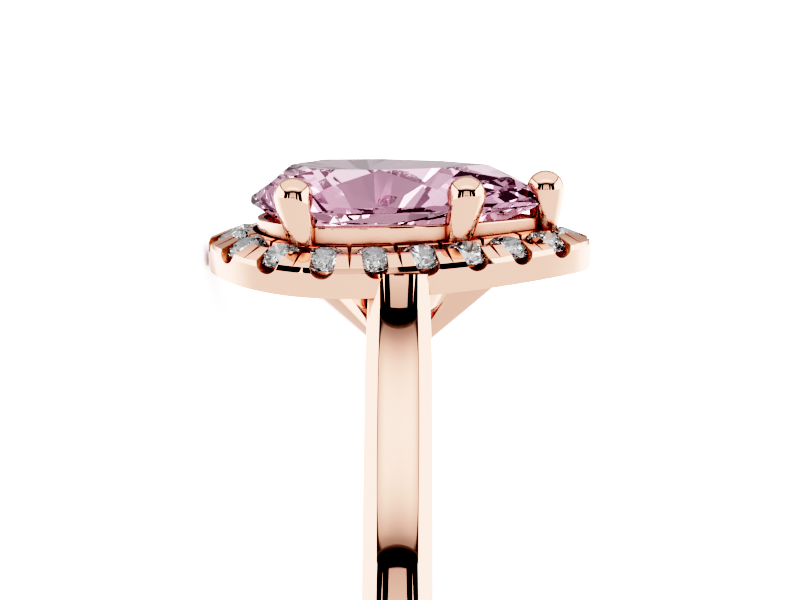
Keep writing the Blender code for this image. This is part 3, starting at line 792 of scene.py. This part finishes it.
bead_out = INNER_BEAD_WIDTH - INNER_BEAD_INSET
top_out = RIM_REACH - RIM_BEVEL
outer_bead = top_out - OUTER_BEAD_WIDTH
bead_fall = math.tan(STONE_TILT)
rim_section = eased(
    (
        (RIM_INNER_EDGE, RIM_BOTTOM + RIM_UNDERCUT),
        (RIM_INNER_EDGE, CHANNEL_FLOOR),
        (-INNER_BEAD_INSET, CHANNEL_FLOOR),
        (-INNER_BEAD_INSET, INNER_BEAD_TOP),
        (bead_out, INNER_BEAD_TOP - INNER_BEAD_FALL),
        (bead_out + INNER_BEAD_INSET, 0.0),
        (outer_bead - INNER_BEAD_INSET, 0.0),
        (outer_bead, RIM_TOP + OUTER_BEAD_WIDTH * bead_fall),
        (top_out, RIM_TOP),
        (RIM_REACH, RIM_TOP - RIM_BEVEL_HEIGHT),
        (RIM_REACH, RIM_BOTTOM),
        (0.0, RIM_BOTTOM),
    ),
    RIM_EASE,
)
rim_rings = []
for station in range(RIM_STATIONS):
    point, out = pear_outline((station + 0.5) / RIM_STATIONS, STONE_RING_OFFSET)
    ring = []
    for reach, height in rim_section:
        place = point + out * reach
        ring.append(place + Vector((0, 0, STONE_PLANE + height - bow(place.y))))
    rim_rings.append(ring)
bead_rim = swept("bead_rim", rim_rings, True, open_gold)


def rim_cut(turns, outline, inner, outer, fall):
    """A straight cut of one outline, outward through the rim, sinking by fall for each length outward."""
    place = rim_place(turns)
    rings = []
    for reach in (inner, outer):
        rings.append([place @ Vector((reach, step, height - fall * reach)) for step, height in outline])
    return swept("rim_cut", rings, False, burr_cut_shade_gold)


def v_outline(width, top, depth):
    """A graver's cut, as wide as given at the top of the bead, and drawn on above it."""
    spread = width / 2 * (depth + CUT_OVERRUN) / depth
    return [(-spread, top + CUT_OVERRUN), (0.0, top - depth), (spread, top + CUT_OVERRUN)]


scallop_radius = SCALLOP_WIDTH / 2
scallop = [(-scallop_radius, SCALLOP_RISE)]
for step in range(SCALLOP_STEPS + 1):
    angle = math.pi * (1 + step / SCALLOP_STEPS)
    scallop.append((scallop_radius * math.cos(angle), SCALLOP_FLOOR + scallop_radius * (1 + math.sin(angle))))
scallop.append((scallop_radius, SCALLOP_RISE))
outer_split_top = RIM_TOP + OUTER_BEAD_WIDTH * bead_fall + outer_bead * OUTER_SPLIT_FALL
outer_split = v_outline(OUTER_SPLIT_WIDTH, outer_split_top, OUTER_SPLIT_DEPTH)
inner_split = v_outline(INNER_SPLIT_WIDTH, INNER_BEAD_TOP, INNER_SPLIT_DEPTH)
past_rim = RIM_REACH + CUT_OVERRUN
for i in range(STONE_COUNT):
    between = i / STONE_COUNT
    seat_tools.append(rim_cut((i + 0.5) / STONE_COUNT, scallop, STONE_RING_OFFSET, past_rim, 0.0))
    seat_tools.append(rim_cut(between, outer_split, outer_bead - SPLIT_OVERLAP, past_rim, OUTER_SPLIT_FALL))
    seat_tools.append(rim_cut(between, inner_split, -2 * INNER_BEAD_INSET, bead_out + SPLIT_OVERLAP, 0.0))
# The seats, holes, notches and splits take the burr-cut gold, painted darker there as shade.
cut_away(bead_rim, seat_tools, burr_cut_shade_gold)
soften_edges(bead_rim, RIM_EDGE, CUT_EDGE_ANGLE)
lay_in_place(bead_rim, "rose_gold", "rose_gold_ring", RIM_SHARP_ANGLE)

# Table top
# A matt white table top that runs out to the white of the room. Reflections pass through it, so the polished
# gold shows the same studio all round as a piece photographed on its own.
TABLE_SIZE = 1.6
TABLE_WHITE = (0.90, 0.90, 0.90, 1.0)

bpy.ops.object.select_all(action="DESELECT")
bpy.ops.mesh.primitive_plane_add(size=TABLE_SIZE, location=(0, 0, 0))
table_top = bpy.context.object
table_top.name = "table_top"
table_paint = bpy.data.materials.new("matt_white_table")
table_paint.use_nodes = True
table_shader = table_paint.node_tree.nodes["Principled BSDF"]
table_shader.inputs["Base Color"].default_value = TABLE_WHITE
table_shader.inputs["Roughness"].default_value = 0.9
table_shader.inputs["Specular IOR Level"].default_value = 0.0
table_top.data.materials.append(table_paint)
table_top.visible_glossy = False
table_top.visible_transmission = False

# Studio light
# Plain white light from all round. What the gold and the stones mirror is a small photo room in the ring's
# own directions: bright side walls, a lit ceiling, and behind the camera a dark wall with a screen in it.
TABLE_LIGHT = 6.0
SIDE_WALL_LIGHT = 1.7
FRONT_FLOOR_LIGHT = 0.97
BACK_FLOOR_LIGHT = 1.9
LOW_FLOOR_LIGHT = 1.75
LOW_CORNER_LIGHT = 0.75
CEILING_LIGHT = 1.0
CEILING_EDGE_LIGHT = 0.35
LAMP_LIGHT = 1.53
SEAM_LIGHT = 0.05
SCREEN_LIGHT = 0.98
SCREEN_TOP_LIGHT = 0.60
WALL_TOP_LIGHT = 0.15
FAR_WALL_LIGHT = 0.42
DARK = 0.003
ROOM_HALF_WIDTH = 1.33
ROOM_HEIGHT = 0.90
SCREEN_HALF_WIDTH = 0.34
SCREEN_HEIGHT = 0.66
SLIT_PLACE = 0.60
SLIT_HALF_WIDTH = 0.065
STAND_HALF_WIDTH = 0.17
STAND_POST_PLACE = 0.14
STAND_POST_HALF_WIDTH = 0.03
STAND_ARM_HEIGHT = 0.10
STAND_ARM_HALF_WIDTH = 0.025
SEAM_PLACE = 1.33
SEAM_HALF_WIDTH = 0.10
SEAM_WIDENS_FROM = 0.6
SEAM_STARTS_AT = 0.9
NEARLY_ZERO = 0.0001

# Where one light blends into the next, as the measure given in its ramp.
LAMP_SIDES = (1.0, 0.4)
LAMP_FRONT = (0.30, 0.60)
CEILING_EDGE = (1.12, 0.60)
SEAM_BLUR = (1.0, 0.5)
WALL_TOP = (0.83, 0.90)
FLOOR_BACKWARD = (0.25, -0.45)
LOW_FLOOR_DOWN = (0.60, 0.72)
LOW_FLOOR_FORWARD = (0.30, 0.45)
LOW_CORNER_DOWN = (0.45, 0.58)
LOW_CORNER_BACKWARD = (0.30, 0.10)
FAR_WALL_BACKWARD = (-0.55, -0.85)

STONE_SHARE = 0.46
STONE_GLOW = 0.16
SPOT_LIGHT = 2.8
DIM_SPOT_LIGHT = 0.20
SPOT_BLUR = (0.40, 0.50)
DIM_SPOT_BLUR = (-0.42, -0.52)
SPOTS_SIDEWAYS = (17.0, 0.9)
SPOTS_FORWARD = (15.0, 2.1)
SPOTS_DOWN = (13.0, 0.3)

PAPER_WHITE = 2.1
DEVELOPED = (
    (0.0, 0.0),
    (0.035, 0.0005),
    (0.059, 0.007),
    (0.098, 0.050),
    (0.163, 0.156),
    (0.271, 0.332),
    (0.452, 0.571),
    (0.753, 0.799),
    (1.255, 0.938),
    (PAPER_WHITE, 1.0),
)

world = bpy.data.worlds.new("photo_room")
bpy.context.scene.world = world
world.use_nodes = True
world.node_tree.nodes.clear()
room_nodes, room_links = world.node_tree.nodes, world.node_tree.links


def room_math(operation, first, second=0.0):
    """One arithmetic step of the room's light; each input is a number or another step's output."""
    node = room_nodes.new("ShaderNodeMath")
    node.operation = operation
    for socket, value in zip(node.inputs, (first, second)):
        if isinstance(value, (int, float)):
            socket.default_value = value
        else:
            room_links.new(value, socket)
    return node.outputs[0]


def ramp(value, low, high):
    """0 up to low, 1 from high on, and smooth between; low may be the greater."""
    node = room_nodes.new("ShaderNodeMapRange")
    node.interpolation_type = "SMOOTHSTEP"
    room_links.new(value, node.inputs["Value"])
    node.inputs["From Min"].default_value = low
    node.inputs["From Max"].default_value = high
    return node.outputs["Result"]


def along(way):
    """How far a view direction points along one of the ring's own directions."""
    node = room_nodes.new("ShaderNodeVectorMath")
    node.operation = "DOT_PRODUCT"
    room_links.new(view_way.outputs["Generated"], node.inputs[0])
    node.inputs[1].default_value = way
    return node.outputs["Value"]


def blend_light(mask, low, high):
    """low where the mask is 0, high where it is 1."""
    kept = room_math("MULTIPLY", room_math("SUBTRACT", 1.0, mask), low)
    return room_math("ADD", room_math("MULTIPLY", mask, high), kept)


def both(first, second):
    return room_math("MULTIPLY", first, second)


def off(value, place):
    """How far a value is from a place, either way."""
    return room_math("ABSOLUTE", room_math("SUBTRACT", value, place))


def wave(value, pitch, phase):
    """A sine along one of the room's directions."""
    return room_math("SINE", room_math("ADD", room_math("MULTIPLY", value, pitch), phase))


view_way = room_nodes.new("ShaderNodeTexCoord")
sideways = room_math("ABSOLUTE", along(finger_way))
toward_camera = along(-depth_way)
down = along(-head_way)
back = room_math("MAXIMUM", toward_camera, NEARLY_ZERO)
up = room_math("MAXIMUM", along(head_way), 0.0)
some_up = room_math("MAXIMUM", up, NEARLY_ZERO)
side_share = room_math("DIVIDE", sideways, ROOM_HALF_WIDTH)
up_share = room_math("DIVIDE", up, ROOM_HEIGHT)
above = room_math("GREATER_THAN", along(head_way), 0.0)
wall_x = room_math("DIVIDE", sideways, back)
wall_up = room_math("DIVIDE", up, back)
is_wall = both(room_math("GREATER_THAN", back, room_math("MAXIMUM", side_share, up_share)), above)
is_side = both(room_math("GREATER_THAN", side_share, room_math("MAXIMUM", back, up_share)), above)
is_ceiling = both(room_math("GREATER_THAN", up_share, room_math("MAXIMUM", back, side_share)), above)
ceiling_x = room_math("DIVIDE", sideways, some_up)
ceiling_back = room_math("DIVIDE", toward_camera, some_up)

# The ceiling has a lamp over the ring and gets darker towards the camera.
lamp = both(ramp(ceiling_x, *LAMP_SIDES), ramp(ceiling_back, *LAMP_FRONT))
ceiling = blend_light(lamp, CEILING_LIGHT, LAMP_LIGHT)
ceiling = blend_light(ramp(ceiling_back, *CEILING_EDGE), CEILING_EDGE_LIGHT, ceiling)

# A dark seam runs between the ceiling and each side wall, and widens towards the camera.
seam_more = room_math("MAXIMUM", room_math("SUBTRACT", ceiling_back, SEAM_WIDENS_FROM), 0.0)
seam_reach = room_math("ADD", SEAM_HALF_WIDTH, seam_more)
seam_gap = room_math("DIVIDE", off(ceiling_x, SEAM_PLACE), seam_reach)
seam_starts = room_math("GREATER_THAN", up_share, room_math("MULTIPLY", back, SEAM_STARTS_AT))
seam = both(ramp(seam_gap, *SEAM_BLUR), seam_starts)

# The dark wall has a lit screen, a slit of light on each side of it, and a small stand before it.
screen = both(room_math("LESS_THAN", wall_x, SCREEN_HALF_WIDTH), room_math("LESS_THAN", wall_up, SCREEN_HEIGHT))
screen_fade = room_math("MINIMUM", room_math("DIVIDE", wall_up, SCREEN_HEIGHT), 1.0)
slit_reach = room_math("SUBTRACT", SLIT_HALF_WIDTH, room_math("MULTIPLY", wall_up, SLIT_HALF_WIDTH / SCREEN_HEIGHT))
slit = room_math("LESS_THAN", off(wall_x, SLIT_PLACE), slit_reach)
stand_post = both(
    room_math("LESS_THAN", off(wall_x, STAND_POST_PLACE), STAND_POST_HALF_WIDTH),
    room_math("LESS_THAN", wall_up, STAND_ARM_HEIGHT),
)
stand_arm = both(
    room_math("LESS_THAN", wall_x, STAND_HALF_WIDTH),
    room_math("LESS_THAN", off(wall_up, STAND_ARM_HEIGHT), STAND_ARM_HALF_WIDTH),
)
wall = blend_light(screen, DARK, blend_light(screen_fade, SCREEN_LIGHT, SCREEN_TOP_LIGHT))
wall = blend_light(slit, wall, SIDE_WALL_LIGHT)
wall = blend_light(ramp(wall_up, *WALL_TOP), wall, WALL_TOP_LIGHT)
wall = blend_light(room_math("MAXIMUM", stand_post, stand_arm), wall, DARK)

light = blend_light(ramp(toward_camera, *FLOOR_BACKWARD), FRONT_FLOOR_LIGHT, BACK_FLOOR_LIGHT)
low_floor = both(ramp(down, *LOW_FLOOR_DOWN), ramp(toward_camera, *LOW_FLOOR_FORWARD))
light = blend_light(low_floor, light, LOW_FLOOR_LIGHT)
low_corner = both(ramp(down, *LOW_CORNER_DOWN), ramp(toward_camera, *LOW_CORNER_BACKWARD))
light = blend_light(low_corner, light, LOW_CORNER_LIGHT)
light = blend_light(is_side, light, SIDE_WALL_LIGHT)
light = blend_light(is_ceiling, light, ceiling)
light = blend_light(both(seam, above), light, SEAM_LIGHT)
light = blend_light(is_wall, light, wall)
light = blend_light(both(ramp(toward_camera, *FAR_WALL_BACKWARD), above), light, FAR_WALL_LIGHT)

# Seen through a stone, the room is dimmer and has small bright and dim spots, which make the facets sparkle.
ray = room_nodes.new("ShaderNodeLightPath")
spots = both(both(wave(sideways, *SPOTS_SIDEWAYS), wave(toward_camera, *SPOTS_FORWARD)), wave(down, *SPOTS_DOWN))
through = room_math("ADD", room_math("MULTIPLY", light, STONE_SHARE), STONE_GLOW)
through = blend_light(ramp(spots, *SPOT_BLUR), through, SPOT_LIGHT)
through = blend_light(ramp(spots, *DIM_SPOT_BLUR), through, DIM_SPOT_LIGHT)
light = blend_light(ray.outputs["Is Transmission Ray"], light, through)

# Only reflections and stones see the room. The table and the picture's ground get plain white light.
mirrored = room_math("MAXIMUM", ray.outputs["Is Glossy Ray"], ray.outputs["Is Transmission Ray"])
light = blend_light(mirrored, TABLE_LIGHT, light)
room_shader = room_nodes.new("ShaderNodeBackground")
room_links.new(light, room_shader.inputs["Strength"])
room_shader.inputs["Color"].default_value = (1.0, 1.0, 1.0, 1.0)
room_out = room_nodes.new("ShaderNodeOutputWorld")
room_links.new(room_shader.outputs["Background"], room_out.inputs["Surface"])

# The picture is developed with more contrast than a plain one: deep in the darks, soft in the lights.
developing = bpy.context.scene.view_settings
developing.view_transform = "Standard"
developing.use_curve_mapping = True
developing.curve_mapping.white_level = (PAPER_WHITE, PAPER_WHITE, PAPER_WHITE)
for seen, shown in DEVELOPED[1:-1]:
    developing.curve_mapping.curves[3].points.new(seen / PAPER_WHITE, shown)
developing.curve_mapping.update()

# Camera
# It stands where the photograph was taken from: before the middle of the head and a little above it, turned
# with the ring so that the head is at the top of the picture, and above the table.
CAMERA_DISTANCE = 54.0
CAMERA_RISE = 7.8
CAMERA_SWING = math.radians(0.5)
AIM_DROP = 2.2
FOCAL_PIXELS = 1618.0
PICTURE_WIDTH = 800.0

camera_data = bpy.data.cameras.new("camera")
camera_data.sensor_width = 36.0
camera_data.lens = FOCAL_PIXELS * camera_data.sensor_width / PICTURE_WIDTH
camera_data.clip_start = 0.001
camera = bpy.data.objects.new("camera", camera_data)
bpy.context.collection.objects.link(camera)
stand_point = Vector((math.sin(CAMERA_SWING), -math.cos(CAMERA_SWING), 0)) * CAMERA_DISTANCE
stand_point.z = STONE_PLANE + CAMERA_RISE
aim = Vector((0, 0, STONE_PLANE - AIM_DROP))
forward = (aim - stand_point).normalized()
sideways_way = forward.cross(Vector((0, 0, 1))).normalized()
camera_turn = Matrix((sideways_way, sideways_way.cross(forward), -forward)).transposed().to_4x4()
camera.matrix_world = lying @ Matrix.Translation(stand_point * MM) @ camera_turn
bpy.context.scene.camera = camera
